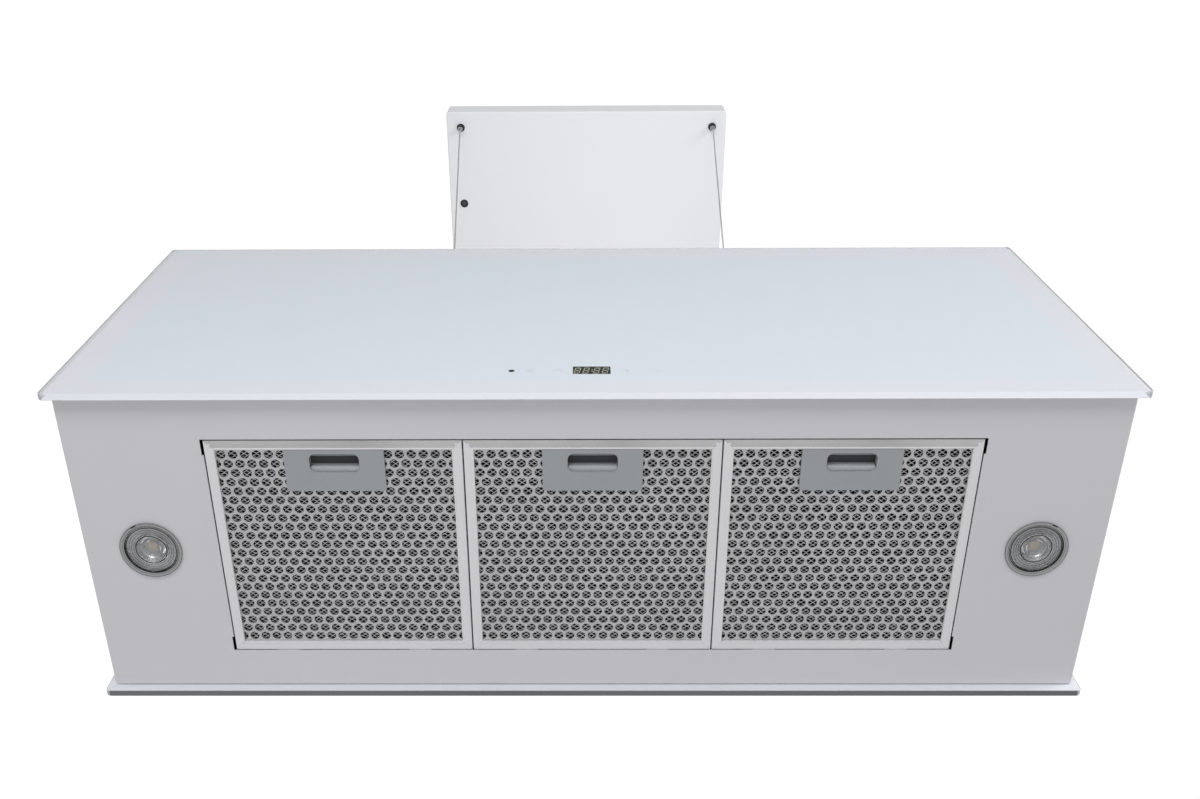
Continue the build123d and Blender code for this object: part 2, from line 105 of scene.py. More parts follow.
def block(low, high, bevel=0.0, segments=2):
    """A box with rounded edges, as a bmesh."""
    bm = bmesh.new()
    bmesh.ops.create_cube(bm, size=1.0)
    low, high = Vector(low), Vector(high)
    for vert in bm.verts:
        vert.co = Vector(((high[i] + low[i]) / 2 + vert.co[i] * (high[i] - low[i]) for i in range(3)))
    if bevel:
        bmesh.ops.bevel(bm, geom=bm.edges[:], offset=bevel, segments=segments, profile=0.5, affect="EDGES")
    return bm


def lathe(outline, centre, segments=64):
    """Turns an outline of (radius, z) in millimetres about the vertical through centre.

    The outline may start and end on the axis."""
    verts, faces, rings = [], [], []
    for radius_mm, z_mm in outline:
        radius, z = radius_mm * MM, z_mm * MM
        if radius_mm == 0:
            rings.append([len(verts)])
            verts.append((centre[0], centre[1], centre[2] + z))
            continue
        rings.append(list(range(len(verts), len(verts) + segments)))
        for step in range(segments):
            angle = 2 * math.pi * step / segments
            verts.append((centre[0] + radius * math.cos(angle), centre[1] + radius * math.sin(angle),
                          centre[2] + z))
    for lower, upper in zip(rings, rings[1:]):
        for step in range(segments):
            after = (step + 1) % segments
            if len(lower) == 1:
                faces.append((lower[0], upper[after], upper[step]))
            elif len(upper) == 1:
                faces.append((lower[step], lower[after], upper[0]))
            else:
                faces.append((lower[step], lower[after], upper[after], upper[step]))
    return verts, faces


def closed_lathe(outline, centre, segments=64):
    """Turns a closed outline that doesn't touch the axis."""
    return lathe(outline + outline[:1], centre, segments)


def tube(path, radius, sides=8):
    """A round tube that follows a list of points."""
    points = [Vector(p) for p in path]
    verts = []
    normal = Vector((1, 0, 0))
    for index, point in enumerate(points):
        ahead = points[min(index + 1, len(points) - 1)]
        behind = points[max(index - 1, 0)]
        tangent = (ahead - behind).normalized()
        normal = (normal - tangent * normal.dot(tangent))
        if normal.length < 1e-6:
            normal = tangent.orthogonal()
        normal.normalize()
        other = tangent.cross(normal)
        for step in range(sides):
            angle = 2 * math.pi * step / sides
            verts.append(point + (normal * math.cos(angle) + other * math.sin(angle)) * radius)
    return verts, skin(len(points), sides)


def skin(levels, count):
    """The faces of a closed skin over rings of equal length, capped at both ends."""
    faces = []
    for level in range(levels - 1):
        for step in range(count):
            after = (step + 1) % count
            base = level * count
            faces.append((base + step, base + after, base + count + after, base + count + step))
    faces.append(tuple(reversed(range(count))))
    faces.append(tuple(range((levels - 1) * count, levels * count)))
    return faces


def rounded_rectangle(x0, x1, z0, z1, radius, steps=8):
    """Points of a rounded rectangle, anticlockwise."""
    points = []
    centres = ((x1 - radius, z1 - radius, 0), (x0 + radius, z1 - radius, 90),
               (x0 + radius, z0 + radius, 180), (x1 - radius, z0 + radius, 270))
    for cx, cz, start in centres:
        for step in range(steps + 1):
            angle = math.radians(start + 90 * step / steps)
            points.append((cx + radius * math.cos(angle), cz + radius * math.sin(angle)))
    return points


def loft(rings):
    """Joins rings of equal length into a closed skin."""
    return [vert for ring in rings for vert in ring], skin(len(rings), len(rings[0]))


def outward(shell_mesh):
    """Turns all faces of a closed mesh outward."""
    bm = bmesh.new()
    bm.from_mesh(shell_mesh)
    bmesh.ops.recalc_face_normals(bm, faces=bm.faces)
    bm.to_mesh(shell_mesh)
    bm.free()
    return shell_mesh


def shell_piece(shell, name, materials, stands_for=(), body="hood", sharp=30):
    """Closes a shell's mesh and links it as a piece."""
    return piece(name, outward(shell.mesh(name, materials, sharp)), body, stands_for)


# Materials

def material(name):
    made = bpy.data.materials.new(name)
    made.use_nodes = True
    return made, made.node_tree, made.node_tree.nodes["Principled BSDF"]


def coordinates(tree, stretch):
    place = tree.nodes.new("ShaderNodeTexCoord")
    mapping = tree.nodes.new("ShaderNodeMapping")
    mapping.inputs["Scale"].default_value = stretch
    tree.links.new(place.outputs["Object"], mapping.inputs["Vector"])
    return mapping.outputs["Vector"]


def noise_texture(tree, vector, scale, detail=2.0, rough=0.5):
    node = tree.nodes.new("ShaderNodeTexNoise")
    node.inputs["Scale"].default_value = scale
    node.inputs["Detail"].default_value = detail
    node.inputs["Roughness"].default_value = rough
    tree.links.new(vector, node.inputs["Vector"])
    return node.outputs["Fac"]


def span(tree, value, low, high, start=0.3, end=0.7, smooth=False):
    """Maps start..end onto low..high."""
    node = tree.nodes.new("ShaderNodeMapRange")
    node.interpolation_type = "SMOOTHSTEP" if smooth else "LINEAR"
    for index, number in zip(("From Min", "From Max", "To Min", "To Max"), (start, end, low, high)):
        node.inputs[index].default_value = number
    tree.links.new(value, node.inputs["Value"])
    return node.outputs["Result"]


def arithmetic(tree, operation, first, second=None):
    """A maths node on a socket and, if given, a number or a second socket."""
    node = tree.nodes.new("ShaderNodeMath")
    node.operation = operation
    tree.links.new(first, node.inputs[0])
    if isinstance(second, float):
        node.inputs[1].default_value = second
    elif second is not None:
        tree.links.new(second, node.inputs[1])
    return node.outputs[0]


def two_tone(tree, factor, first, second):
    node = tree.nodes.new("ShaderNodeMix")
    node.data_type = "RGBA"
    node.inputs["A"].default_value = (*first, 1)
    node.inputs["B"].default_value = (*second, 1)
    tree.links.new(factor, node.inputs["Factor"])
    return node.outputs["Result"]


def surface(name, colour, shade_colour, rough, metallic=0.0, stretch=(1, 1, 1), grain=900.0,
            bump=0.05, mottle=14.0, depth=0.0002, specular=0.5):
    """An opaque finish: slow colour mottling, uneven gloss and a fine bump."""
    made, tree, shader = material(name)
    slow = noise_texture(tree, coordinates(tree, (1, 1, 1)), mottle, 3.0)
    fine = noise_texture(tree, coordinates(tree, stretch), grain, 3.0, 0.6)
    tree.links.new(two_tone(tree, span(tree, slow, 0, 1), colour, shade_colour), shader.inputs["Base Color"])
    tree.links.new(span(tree, fine, rough[0], rough[1]), shader.inputs["Roughness"])
    ripple = tree.nodes.new("ShaderNodeBump")
    ripple.inputs["Strength"].default_value = bump
    ripple.inputs["Distance"].default_value = depth
    tree.links.new(fine, ripple.inputs["Height"])
    tree.links.new(ripple.outputs["Normal"], shader.inputs["Normal"])
    shader.inputs["Metallic"].default_value = metallic
    shader.inputs["Specular IOR Level"].default_value = specular
    return made


def brushed(name, colour, shade_colour, rough, stretch, bump=0.25, metallic=1.0):
    """Metal with fine lines along one direction."""
    return surface(name, colour, shade_colour, rough, metallic=metallic, stretch=stretch, grain=1.0,
                   bump=bump, mottle=9.0, depth=0.00012)


def spangled(name, colour, shade_colour, rough):
    """Galvanised steel with its crystal spangle."""
    made, tree, shader = material(name)
    cells = tree.nodes.new("ShaderNodeTexVoronoi")
    cells.inputs["Scale"].default_value = 95.0
    tree.links.new(coordinates(tree, (1, 1, 1)), cells.inputs["Vector"])
    split = tree.nodes.new("ShaderNodeSeparateColor")
    tree.links.new(cells.outputs["Color"], split.inputs["Color"])
    tree.links.new(two_tone(tree, split.outputs["Red"], colour, shade_colour), shader.inputs["Base Color"])
    tree.links.new(span(tree, split.outputs["Green"], rough[0], rough[1], 0, 1), shader.inputs["Roughness"])
    shader.inputs["Metallic"].default_value = 1.0
    return made


def clear(name, tint, rough, ior=1.5):
    """Clear glass or plastic with faint unevenness in its gloss."""
    made, tree, shader = material(name)
    haze = noise_texture(tree, coordinates(tree, (1, 1, 1)), 40.0, 2.0)
    tree.links.new(span(tree, haze, rough[0], rough[1]), shader.inputs["Roughness"])
    shader.inputs["Base Color"].default_value = (*tint, 1)
    shader.inputs["Transmission Weight"].default_value = 1.0
    shader.inputs["IOR"].default_value = ior
    return made


def enamel(name, glass_low, glass_high, edge_colour):
    """Fired enamel behind the glass: a pale border, and a faintly cooler field inside it."""
    made, tree, shader = material(name)
    place = tree.nodes.new("ShaderNodeTexCoord")
    split = tree.nodes.new("ShaderNodeSeparateXYZ")
    tree.links.new(place.outputs["Object"], split.inputs["Vector"])
    border = 26 * MM
    soft = 9 * MM
    centre_z = (glass_low.z + glass_high.z) / 2

    def field(axis, middle, half):
        """1 in the field and 0 in the border, along one axis."""
        away = arithmetic(tree, "ABSOLUTE", arithmetic(tree, "SUBTRACT", split.outputs[axis], middle))
        return span(tree, away, 1.0, 0.0, half - border - soft, half - border, True)

    inside = arithmetic(tree, "MULTIPLY", field("X", 0.0, glass_high.x),
                        field("Z", centre_z, glass_high.z - centre_z))
    tree.links.new(two_tone(tree, inside, edge_colour, ENAMEL_FIELD), shader.inputs["Base Color"])
    cloud = noise_texture(tree, coordinates(tree, (1, 1, 1)), 30.0, 2.0)
    tree.links.new(span(tree, cloud, 0.45, 0.55), shader.inputs["Roughness"])
    shader.inputs["Specular IOR Level"].default_value = 0.1
    return made


ENAMEL_BORDER = (0.80, 0.82, 0.87)
# The rear border is a paler copy of the front one: painted light on the strip of the rear panel seen below
# the hood.
REAR_BORDER_PAINTED_LIGHT = (0.90, 0.915, 0.955)
ENAMEL_FIELD = (0.78, 0.825, 0.885)

white_paint = surface("white_powder_coat", (0.80, 0.79, 0.825), (0.785, 0.775, 0.81), (0.42, 0.52),
                      grain=820.0, bump=0.10, depth=0.00015, mottle=6.0)
# A lighter copy of the white powder coat: painted light on the ceiling box, which looks brighter than the
# hood.
ceiling_paint_painted_light = surface("ceiling_box_paint_painted_light", (0.86, 0.865, 0.885), (0.85, 0.855, 0.875), (0.42, 0.52),
                        grain=820.0, bump=0.10, depth=0.00015, mottle=6.0)
galvanised = spangled("galvanised_steel", (0.66, 0.67, 0.68), (0.52, 0.53, 0.55), (0.28, 0.46))
nickel = brushed("satin_nickel", (0.64, 0.645, 0.65), (0.52, 0.525, 0.53), (0.24, 0.36), (900, 900, 2400))
dark_nickel = surface("black_nickel", (0.05, 0.05, 0.052), (0.035, 0.035, 0.037), (0.25, 0.38),
                      metallic=0.85, grain=1500.0, bump=0.08)
rope_steel = surface("rope_steel", (0.62, 0.62, 0.63), (0.52, 0.52, 0.53), (0.32, 0.45), metallic=0.6,
                     grain=2500.0, bump=0.1)
screw_steel = brushed("screw_steel", (0.62, 0.62, 0.63), (0.5, 0.5, 0.51), (0.25, 0.4), (1800, 1800, 400))
# Also laid on the filter seat rail, as painted shade in the gap beside the filters.
black_rubber = surface("black_rubber", (0.018, 0.018, 0.019), (0.028, 0.028, 0.029), (0.55, 0.7),
                       grain=1400.0, bump=0.15)
foam_tape = surface("foam_tape", (0.10, 0.10, 0.105), (0.075, 0.075, 0.08), (0.8, 0.95), grain=2200.0,
                    bump=0.5, depth=0.0003)
circuit_board = surface("circuit_board", (0.02, 0.09, 0.045), (0.03, 0.13, 0.06), (0.35, 0.5),
                        grain=700.0, bump=0.2)
# Also used for the lamp's groove rings and notch, as painted shade.
display_black = surface("display_black", (0.018, 0.022, 0.020), (0.024, 0.028, 0.026), (0.12, 0.2),
                        grain=300.0, bump=0.02)
grey_plastic = surface("grey_plastic", (0.43, 0.457, 0.473), (0.415, 0.442, 0.458), (0.38, 0.5),
                       grain=1500.0, bump=0.14, depth=0.0001, mottle=22.0)
# A lighter copy of the grey plastic: painted light on the latch's finger piece, down in its slot.
slider_plastic_painted_light = surface("slider_plastic_painted_light", (0.55, 0.58, 0.60), (0.52, 0.55, 0.57), (0.38, 0.5),
                         grain=1500.0, bump=0.14, depth=0.0001, mottle=22.0)
# Near-black plastic for the ceiling of the latch's finger slot: painted shade in the slot.
pocket_painted_shade = surface("latch_pocket_plastic", (0.055, 0.058, 0.06), (0.04, 0.042, 0.044), (0.5, 0.6),
                         grain=1500.0, bump=0.14, depth=0.0001)
light_plastic = surface("light_plastic", (0.66, 0.66, 0.64), (0.60, 0.60, 0.58), (0.4, 0.55),
                        grain=1100.0, bump=0.12)
aluminium_x = brushed("brushed_aluminium_front", (0.90, 0.89, 0.885), (0.66, 0.65, 0.65), (0.16, 0.42),
                      (7, 2600, 2600), metallic=0.8)
# The rear and side copies are paler and far less metallic than the front one: painted light on the bars that
# look bright. The side copy's brushing along y is real.
aluminium_rear_painted_light = brushed("brushed_aluminium_rear", (0.97, 0.97, 0.99), (0.94, 0.94, 0.96), (0.30, 0.5),
                         (7, 2600, 2600), metallic=0.15)
aluminium_y_painted_light = brushed("brushed_aluminium_side_painted_light", (0.97, 0.97, 0.99), (0.94, 0.94, 0.96), (0.30, 0.5),
                      (2600, 7, 2600), metallic=0.15)
sheet_aluminium = surface("perforated_aluminium", (0.82, 0.82, 0.83), (0.73, 0.73, 0.75), (0.36, 0.50),
                          metallic=0.85, grain=420.0, bump=0.16, depth=0.0003, mottle=30.0)
filter_mesh = surface("expanded_aluminium", (0.93, 0.93, 0.94), (0.70, 0.70, 0.72), (0.30, 0.5),
                      metallic=0.55, bump=0.25, mottle=60.0)
# The filter's dense inner layers are real. Their near-black colour is painted shade, deep in the filter.
mesh_depths_painted_shade = surface("filter_mesh_depths", (0.006, 0.006, 0.0065), (0.02, 0.02, 0.021), (0.6, 0.8),
                      grain=500.0, bump=0.5, mottle=260.0, depth=0.0004, specular=0.1)
# A darker copy of the expanded aluminium: painted shade on the middle layer, deeper in the filter.
inner_mesh_painted_shade = surface("filter_mesh_inner_painted_shade", (0.13, 0.13, 0.135), (0.07, 0.07, 0.075), (0.4, 0.6),
                     metallic=0.3, bump=0.25, mottle=60.0)
spring_steel = surface("spring_steel", (0.50, 0.50, 0.51), (0.40, 0.40, 0.42), (0.25, 0.35), metallic=1.0,
                       grain=2000.0, bump=0.08)
motor_steel = surface("motor_steel", (0.10, 0.105, 0.115), (0.08, 0.085, 0.095), (0.4, 0.55),
                      metallic=0.4, bump=0.18)
impeller_plastic = surface("impeller_plastic", (0.045, 0.046, 0.05), (0.035, 0.036, 0.04), (0.4, 0.5),
                           grain=800.0, bump=0.12)
carbon = surface("carbon_filter", (0.03, 0.03, 0.031), (0.045, 0.045, 0.047), (0.6, 0.8), grain=650.0,
                 bump=0.6, depth=0.0005)
lens_clear = clear("lamp_lens", (0.97, 0.972, 0.978), (0.10, 0.18), 1.49)
led_yellow = surface("led_phosphor", (0.56, 0.51, 0.44), (0.52, 0.47, 0.40), (0.5, 0.65), grain=3000.0,
                     bump=0.2)
float_glass = clear("float_glass", (0.965, 0.975, 0.985), (0.0, 0.012), 1.52)
ground_edge = surface("ground_glass_edge", (0.60, 0.62, 0.65), (0.54, 0.56, 0.59), (0.22, 0.4),
                      grain=700.0, bump=0.1)
# Painted reflection: the rear panel's lower edge is painted dark for the dark surroundings seen through it.
edge_painted_reflection = surface("glass_edge_painted_reflection", (0.165, 0.173, 0.185), (0.21, 0.22, 0.232), (0.18, 0.3),
                      grain=500.0, bump=0.08, mottle=4.0)
white_board = surface("led_board", (0.44, 0.445, 0.45), (0.40, 0.405, 0.41), (0.35, 0.5), bump=0.1)
reflector = surface("reflector_satin", (0.86, 0.86, 0.87), (0.72, 0.72, 0.73), (0.25, 0.4), metallic=0.8,
                    grain=600.0, bump=0.05)
digit_glow = surface("display_digits", (0.58, 0.60, 0.42), (0.52, 0.54, 0.37), (0.45, 0.55), bump=0.02)
faint_ink = surface("key_marks", (0.56, 0.61, 0.66), (0.54, 0.59, 0.64), (0.45, 0.55), bump=0.02)

SLOT_MATERIALS = {
    "white_paint": white_paint, "galvanised": galvanised, "white_glass": float_glass, "nickel": nickel,
    "rope_steel": rope_steel, "screw_steel": screw_steel, "black_rubber": black_rubber,
    "foam_tape": foam_tape, "circuit_board": circuit_board, "display_black": display_black,
    "grey_plastic": grey_plastic, "aluminium": sheet_aluminium, "filter_mesh": filter_mesh,
    "spring_steel": spring_steel, "motor_steel": motor_steel, "impeller_plastic": impeller_plastic,
    "carbon": carbon, "lens_clear": lens_clear, "led_yellow": led_yellow, "light_plastic": light_plastic,
}


def darken_pocket(node):
    """The inside of the latch's finger slot is deep in shadow, so its ceiling is dark."""
    low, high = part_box(node.name)
    middle = (low.x + high.x) / 2
    slot_front, slot_rear, slot_half = -93 * MM, -76 * MM, 21.5 * MM
    plate_thickness = 2.6 * MM
    node.data.materials.append(pocket_painted_shade)
    for face in node.data.polygons:
        centre = node.matrix_world @ face.center
        in_slot = slot_front < centre.y < slot_rear and abs(centre.x - middle) < slot_half
        if in_slot and centre.z > low.z + plate_thickness and face.normal.z < -0.9:
            face.material_index = 1


def dress_cad_nodes():
    """Gives every CAD node its procedural finish, softened edges and smooth shading."""
    bevels = {"body_casing": 0.35, "top_panel": 0.35, "ceiling_bracket": 0.3, "ceiling_box_cover": 0.8}
    # The ceiling box takes the lighter copy of the white paint as painted light, and the filter seat rail
    # takes black rubber as painted shade in the gap beside the filters.
    finishes_with_painted_light_and_shade = {"filter_seat_rail": black_rubber, "ceiling_box_cover": ceiling_paint_painted_light}
    for part in frame["record"]["subparts"]:
        node = frame["nodes"][part["node"]]
        node.data.materials.clear()
        node.data.materials.append(finishes_with_painted_light_and_shade.get(part["node"], SLOT_MATERIALS[part["material_slot"]]))
        shade(node.data, 32)
        if "latch_plate" in part["node"]:
            darken_pocket(node)
        if "face_sheet" in part["node"]:
            continue
        edge = node.modifiers.new("soft_edges", "BEVEL")
        edge.width = bevels.get(part["node"], 0.2) * MM
        edge.segments = 2
        edge.limit_method = "ANGLE"
        edge.angle_limit = math.radians(50)


# Glass panels

def glass_slab(name, node, side):
    """A glass panel with ground edges. side is -1 in front, and 1 behind, where the lower edge is painted
    dark: a painted reflection of dark surroundings.
    """
    low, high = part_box(node)
    chamfer = 0.6 * MM
    corner = 5 * MM
    rings = []
    for y, inset in ((low.y, chamfer), (low.y + chamfer, 0), (high.y - chamfer, 0), (high.y, chamfer)):
        outline = rounded_rectangle(low.x + inset, high.x - inset, low.z + inset, high.z - inset,
                                    corner - inset)
        rings.append([(x, y, z) for x, z in outline])
    shell = Shell()
    shell.add(*loft(rings))
    data = outward(shell.mesh(name, [float_glass, ground_edge, edge_painted_reflection], 25))
    for face in data.polygons:
        if abs(face.normal.x) > 0.12 and abs(face.normal.y) < 0.9:
            face.material_index = 1
        # The rear panel's lower edge takes the dark edge finish, a painted reflection.
        elif side > 0 and face.normal.z < -0.5 and len(face.vertices) == 4:
            face.material_index = 2
    unshadowed(piece(name, data, "hood", (node,)))
    return low, high


def unshadowed(obj):
    """Light passes through clear pieces, which the renderer would otherwise treat as opaque."""
    obj.visible_shadow = False
    obj.visible_diffuse = False


def enamel_sheet(name, low, high, side, finish):
    """The enamel lies just inside the glass's inner face, short of its side edges."""
    inner = high.y if side < 0 else low.y
    near = inner + side * 0.15 * MM
    far = inner + side * 0.40 * MM
    side_inset = 3.4 * MM if side < 0 else 1.0 * MM
    edge_inset = 0.9 * MM
    corner = 2.0 * MM
    outline = rounded_rectangle(low.x + side_inset, high.x - side_inset, low.z + edge_inset,
                                high.z - edge_inset, corner)
    shell = Shell()
    shell.add(*loft([[(x, y, z) for x, z in outline] for y in sorted((near, far))]))
    shell_piece(shell, name, [finish], sharp=25)
    return far


def build_glass():
    """Both panels. Returns where the front enamel's outer face is."""
    low, high = glass_slab("front_glass_slab", "front_glass", -1)
    face = enamel_sheet("front_enamel", low, high, -1, enamel("white_enamel", low, high, ENAMEL_BORDER))
    low, high = glass_slab("rear_glass_slab", "rear_glass", 1)
    enamel_sheet("rear_enamel", low, high, 1, enamel("rear_white_enamel_painted_light", low, high, REAR_BORDER_PAINTED_LIGHT))
    return face


# Marks in the front glass

# Thickness of the printed marks and of the dark windows
INK = 0.01 * MM
WINDOW = 0.05 * MM


def flat_prism(shell, outline, y, depth):
    shell.add(*loft([[(x, y, z) for x, z in outline], [(x, y - depth, z) for x, z in outline]]))


SEGMENTS = {
    "top": ((0.10, 0.97), (0.90, 0.97), (0.78, 0.88), (0.22, 0.88)),
    "middle": ((0.20, 0.545), (0.80, 0.545), (0.80, 0.455), (0.20, 0.455)),
    "bottom": ((0.22, 0.12), (0.78, 0.12), (0.90, 0.03), (0.10, 0.03)),
    "upper_left": ((0.02, 0.95), (0.14, 0.86), (0.14, 0.57), (0.02, 0.52)),
    "upper_right": ((0.98, 0.95), (0.86, 0.86), (0.86, 0.57), (0.98, 0.52)),
    "lower_left": ((0.02, 0.48), (0.14, 0.43), (0.14, 0.14), (0.02, 0.05)),
    "lower_right": ((0.98, 0.48), (0.86, 0.43), (0.86, 0.14), (0.98, 0.05)),
}


def digit(shell, x, z, width, height, y):
    """A leaning seven-segment 8."""
    lean = 0.16
    for corners in SEGMENTS.values():
        outline = [(x + u * width + (v - 0.5) * height * lean, z + v * height) for u, v in corners]
        flat_prism(shell, outline, y, INK)


def disc(cx, cz, radius, count=24):
    return [(cx + radius * math.cos(2 * math.pi * i / count), cz + radius * math.sin(2 * math.pi * i / count))
            for i in range(count)]


def arc_band(shell, cx, cz, radius, width, start, end, y, count=28):
    """A flat ring or part of one."""
    for step in range(count):
        a = math.radians(start + (end - start) * step / count)
        b = math.radians(start + (end - start) * (step + 1) / count)
        outline = [(cx + r * math.cos(t), cz + r * math.sin(t))
                   for r, t in ((radius, a), (radius, b), (radius - width, b), (radius - width, a))]
        flat_prism(shell, outline, y, INK)


def bar(shell, cx, cz, width, height, y):
    outline = [(cx - width / 2, cz - height / 2), (cx + width / 2, cz - height / 2),
               (cx + width / 2, cz + height / 2), (cx - width / 2, cz + height / 2)]
    flat_prism(shell, outline, y, INK)


def build_display(y):
    """The dark window of the display and its four digits, with a colon between the pairs."""
    low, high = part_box("display_module")
    width = high.x - low.x
    height = high.z - low.z
    window = Shell()
    flat_prism(window, rounded_rectangle(low.x, high.x, low.z, high.z, 0.8 * MM), y, WINDOW)
    shell_piece(window, "display_window", [display_black], ("display_module",), sharp=35)
    digits = Shell()
    digit_y = y - 0.07 * MM
    digit_height = height * 0.80
    base = low.z + height * 0.06
    for share in (0.045, 0.275, 0.555, 0.785):
        digit(digits, low.x + width * share, base, width * 0.155, digit_height, digit_y)
    middle = (low.x + high.x) / 2 - 0.1 * MM
    for lift in (0.34, 0.64):
        dot = disc(middle + lift * MM, base + digit_height * lift, 0.65 * MM, 12)
        flat_prism(digits, dot, digit_y, INK)
    shell_piece(digits, "display_digits", [digit_glow], sharp=35)


def fan_mark(marks, x, z, y):
    """Three small rings about a point."""
    reach, radius, width = 1.6 * MM, 1.7 * MM, 0.45 * MM
    for turn in range(3):
        angle = math.radians(90 + 120 * turn)
        ring_x, ring_z = x + reach * math.cos(angle), z + reach * math.sin(angle)
        arc_band(marks, ring_x, ring_z, radius, width, 0, 360, y, 18)


def power_mark(marks, x, z, y):
    """A broken ring with a short upright."""
    line = 0.5 * MM
    arc_band(marks, x, z, 3.2 * MM, line, -50, 230, y)
    bar(marks, x, z + 2.8 * MM, line, 2.8 * MM, y)


def build_marks(face):
    """Everything that shows in the front glass: display, remote eye and key symbols."""
    y = face - 0.02 * MM
    build_display(y)
    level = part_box("control_board")[0].z + 17 * MM
    eye = Shell()
    flat_prism(eye, disc(-68.0 * MM, level, 2.6 * MM), y, WINDOW)
    shell_piece(eye, "remote_eye", [display_black], sharp=35)
    marks = Shell()
    plus, minus, stroke = 29.0 * MM, 55.0 * MM, 0.6 * MM
    fan_mark(marks, -52.7 * MM, level, y)
    power_mark(marks, -29.7 * MM, level, y)
    bar(marks, plus, level, 4.6 * MM, stroke, y)
    bar(marks, plus, level, stroke, 4.6 * MM, y)
    bar(marks, minus, level, 5.4 * MM, stroke, y)
    shell_piece(marks, "key_marks", [faint_ink], sharp=35)


# Grease filters

# How far the rear hooks stand out behind a filter's frame
HOOK = 6 * MM


def box_middle(node):
    """The middle of a CAD node's box, seen from above."""
    low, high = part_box(node)
    return (low.x + high.x) / 2, (low.y + high.y) / 2


# The folded section of a frame bar, in millimetres: across the bar, and up from its lower face
CHANNEL = ((8.5, 2.7), (8.5, 0.5), (8.35, 0.15), (8.0, 0.0), (7.3, 0.0), (7.05, 0.1), (6.95, 0.35),
           (6.6, 0.35), (1.3, 0.35), (0.5, 0.5), (0.12, 0.85), (0.0, 1.5), (0.0, 10.3), (0.2, 10.8),
           (0.7, 11.0), (8.5, 11.0), (8.5, 10.4), (1.1, 10.4), (0.7, 10.2), (0.6, 9.9), (0.6, 1.6),
           (0.75, 1.1), (1.3, 0.95), (7.4, 0.95), (7.75, 1.1), (7.85, 1.4), (7.85, 2.7))
RIVET = [(0, -0.05), (0.9, -0.02), (1.25, 0.12), (1.4, 0.4), (1.4, 0.6), (0, 0.6)]


def frame_bar(shell, low, high, edge, base, mark):
    """One mitred bar of the frame. edge is front, rear, left or right."""
    gap = 0.12 * MM
    rings = []
    for end in (0, 1):
        ring = []
        for across, up in CHANNEL:
            u, z = across * MM, base + up * MM
            run = u + gap
            if edge == "front":
                ring.append((low.x + run if end == 0 else high.x - run, low.y + u, z))
            elif edge == "rear":
                ring.append((high.x - run if end == 0 else low.x + run, high.y - u, z))
            elif edge == "left":
                ring.append((low.x + u, high.y - run if end == 0 else low.y + run, z))
            else:
                ring.append((high.x - u, low.y + run if end == 0 else high.y - run, z))
        rings.append(ring)
    shell.add(*loft(rings), mark)


def filter_frame_mesh(low, high, base):
    """Four mitred bars, two rear hooks and a rivet at each corner."""
    shell = Shell()
    for edge, mark in (("front", 0), ("rear", 2), ("left", 1), ("right", 1)):
        frame_bar(shell, low, high, edge, base, mark)
    rivet_inset = 4.2 * MM
    for side in (-1, 1):
        x0, x1 = sorted((side * 50 * MM, side * 70 * MM))
        hook = block((x0, high.y - 0.5 * MM, base + 1.5 * MM), (x1, high.y + HOOK, base + 2.9 * MM), 0.3 * MM)
        shell.add_bmesh(hook, 2)
        for y in (low.y + rivet_inset, high.y - rivet_inset):
            shell.add(*lathe(RIVET, (side * (high.x - rivet_inset), y, base + 0.02 * MM), 20), 1)
    # The front bar takes the real aluminium. The side bars and rivets take the pale side copy, and the rear
    # bar and hooks take the pale rear copy: painted light.
    data = outward(shell.mesh("filter_frame", [aluminium_x, aluminium_y_painted_light, aluminium_rear_painted_light], 30))
    # The inner lip of the front bar takes the pale rear copy too: painted light.
    lip = low.y + 6.9 * MM
    for face in data.polygons:
        if face.material_index == 0 and face.center.y > lip and face.center.z < base + 0.4 * MM:
            face.material_index = 2
    return data


def in_latch_notch(x, y, half, rear):
    """The mesh stops short of the latch, in the middle of the front edge."""
    return abs(x) < half and y < rear


def lattice_layer(shell, x0, x1, y0, y1, z, offset, seed, mark):
    """One layer of expanded metal: zigzag strands that touch at their bends."""
    rng = random.Random(seed)
    step_x, half_cell = 2.7 * MM, 2.0 * MM
    amplitude = half_cell * 0.46
    jitter, jitter_y = 0.22, 0.16
    waviness, wave_height = 90, 0.7 * MM
    columns = int((x1 - x0) / step_x)
    rows = int((y1 - y0) / half_cell) - 1
    crumple = Vector((seed * 3.1, seed * 1.7, 0))
    for row in range(rows):
        run = []
        for column in range(columns + 1):
            up = 1 if (row + column) % 2 == 0 else -1
            x = x0 + offset[0] + column * step_x + rng.uniform(-jitter, jitter) * MM
            y = y0 + offset[1] + (row + 0.5) * half_cell + up * amplitude
            y += rng.uniform(-jitter_y, jitter_y) * MM
            wave = noise.noise(Vector((x * waviness, y * waviness, 0)) + crumple) * wave_height
            point = Vector((x, y, z + wave + rng.uniform(-jitter, jitter) * MM))
            inside = x0 < point.x < x1 and y0 < point.y < y1
            if inside and not in_latch_notch(point.x, point.y, 32.4 * MM, -56.0 * MM):
                run.append(point)
                continue
            strand(shell, run, mark)
            run = []
        strand(shell, run, mark)


def strand(shell, points, mark):
    """A flat strip along a run of points, tilted at each bend."""
    if len(points) < 2:
        return
    width = 0.30 * MM
    thick = 0.12 * MM
    verts = []
    for index, point in enumerate(points):
        tilt = 0.5 * thick if index % 2 else -0.5 * thick
        verts += [point + Vector((0, -width, -thick + tilt)), point + Vector((0, width, -thick - tilt)),
                  point + Vector((0, width, thick - tilt)), point + Vector((0, -width, thick + tilt))]
    shell.add(verts, skin(len(points), 4), mark)


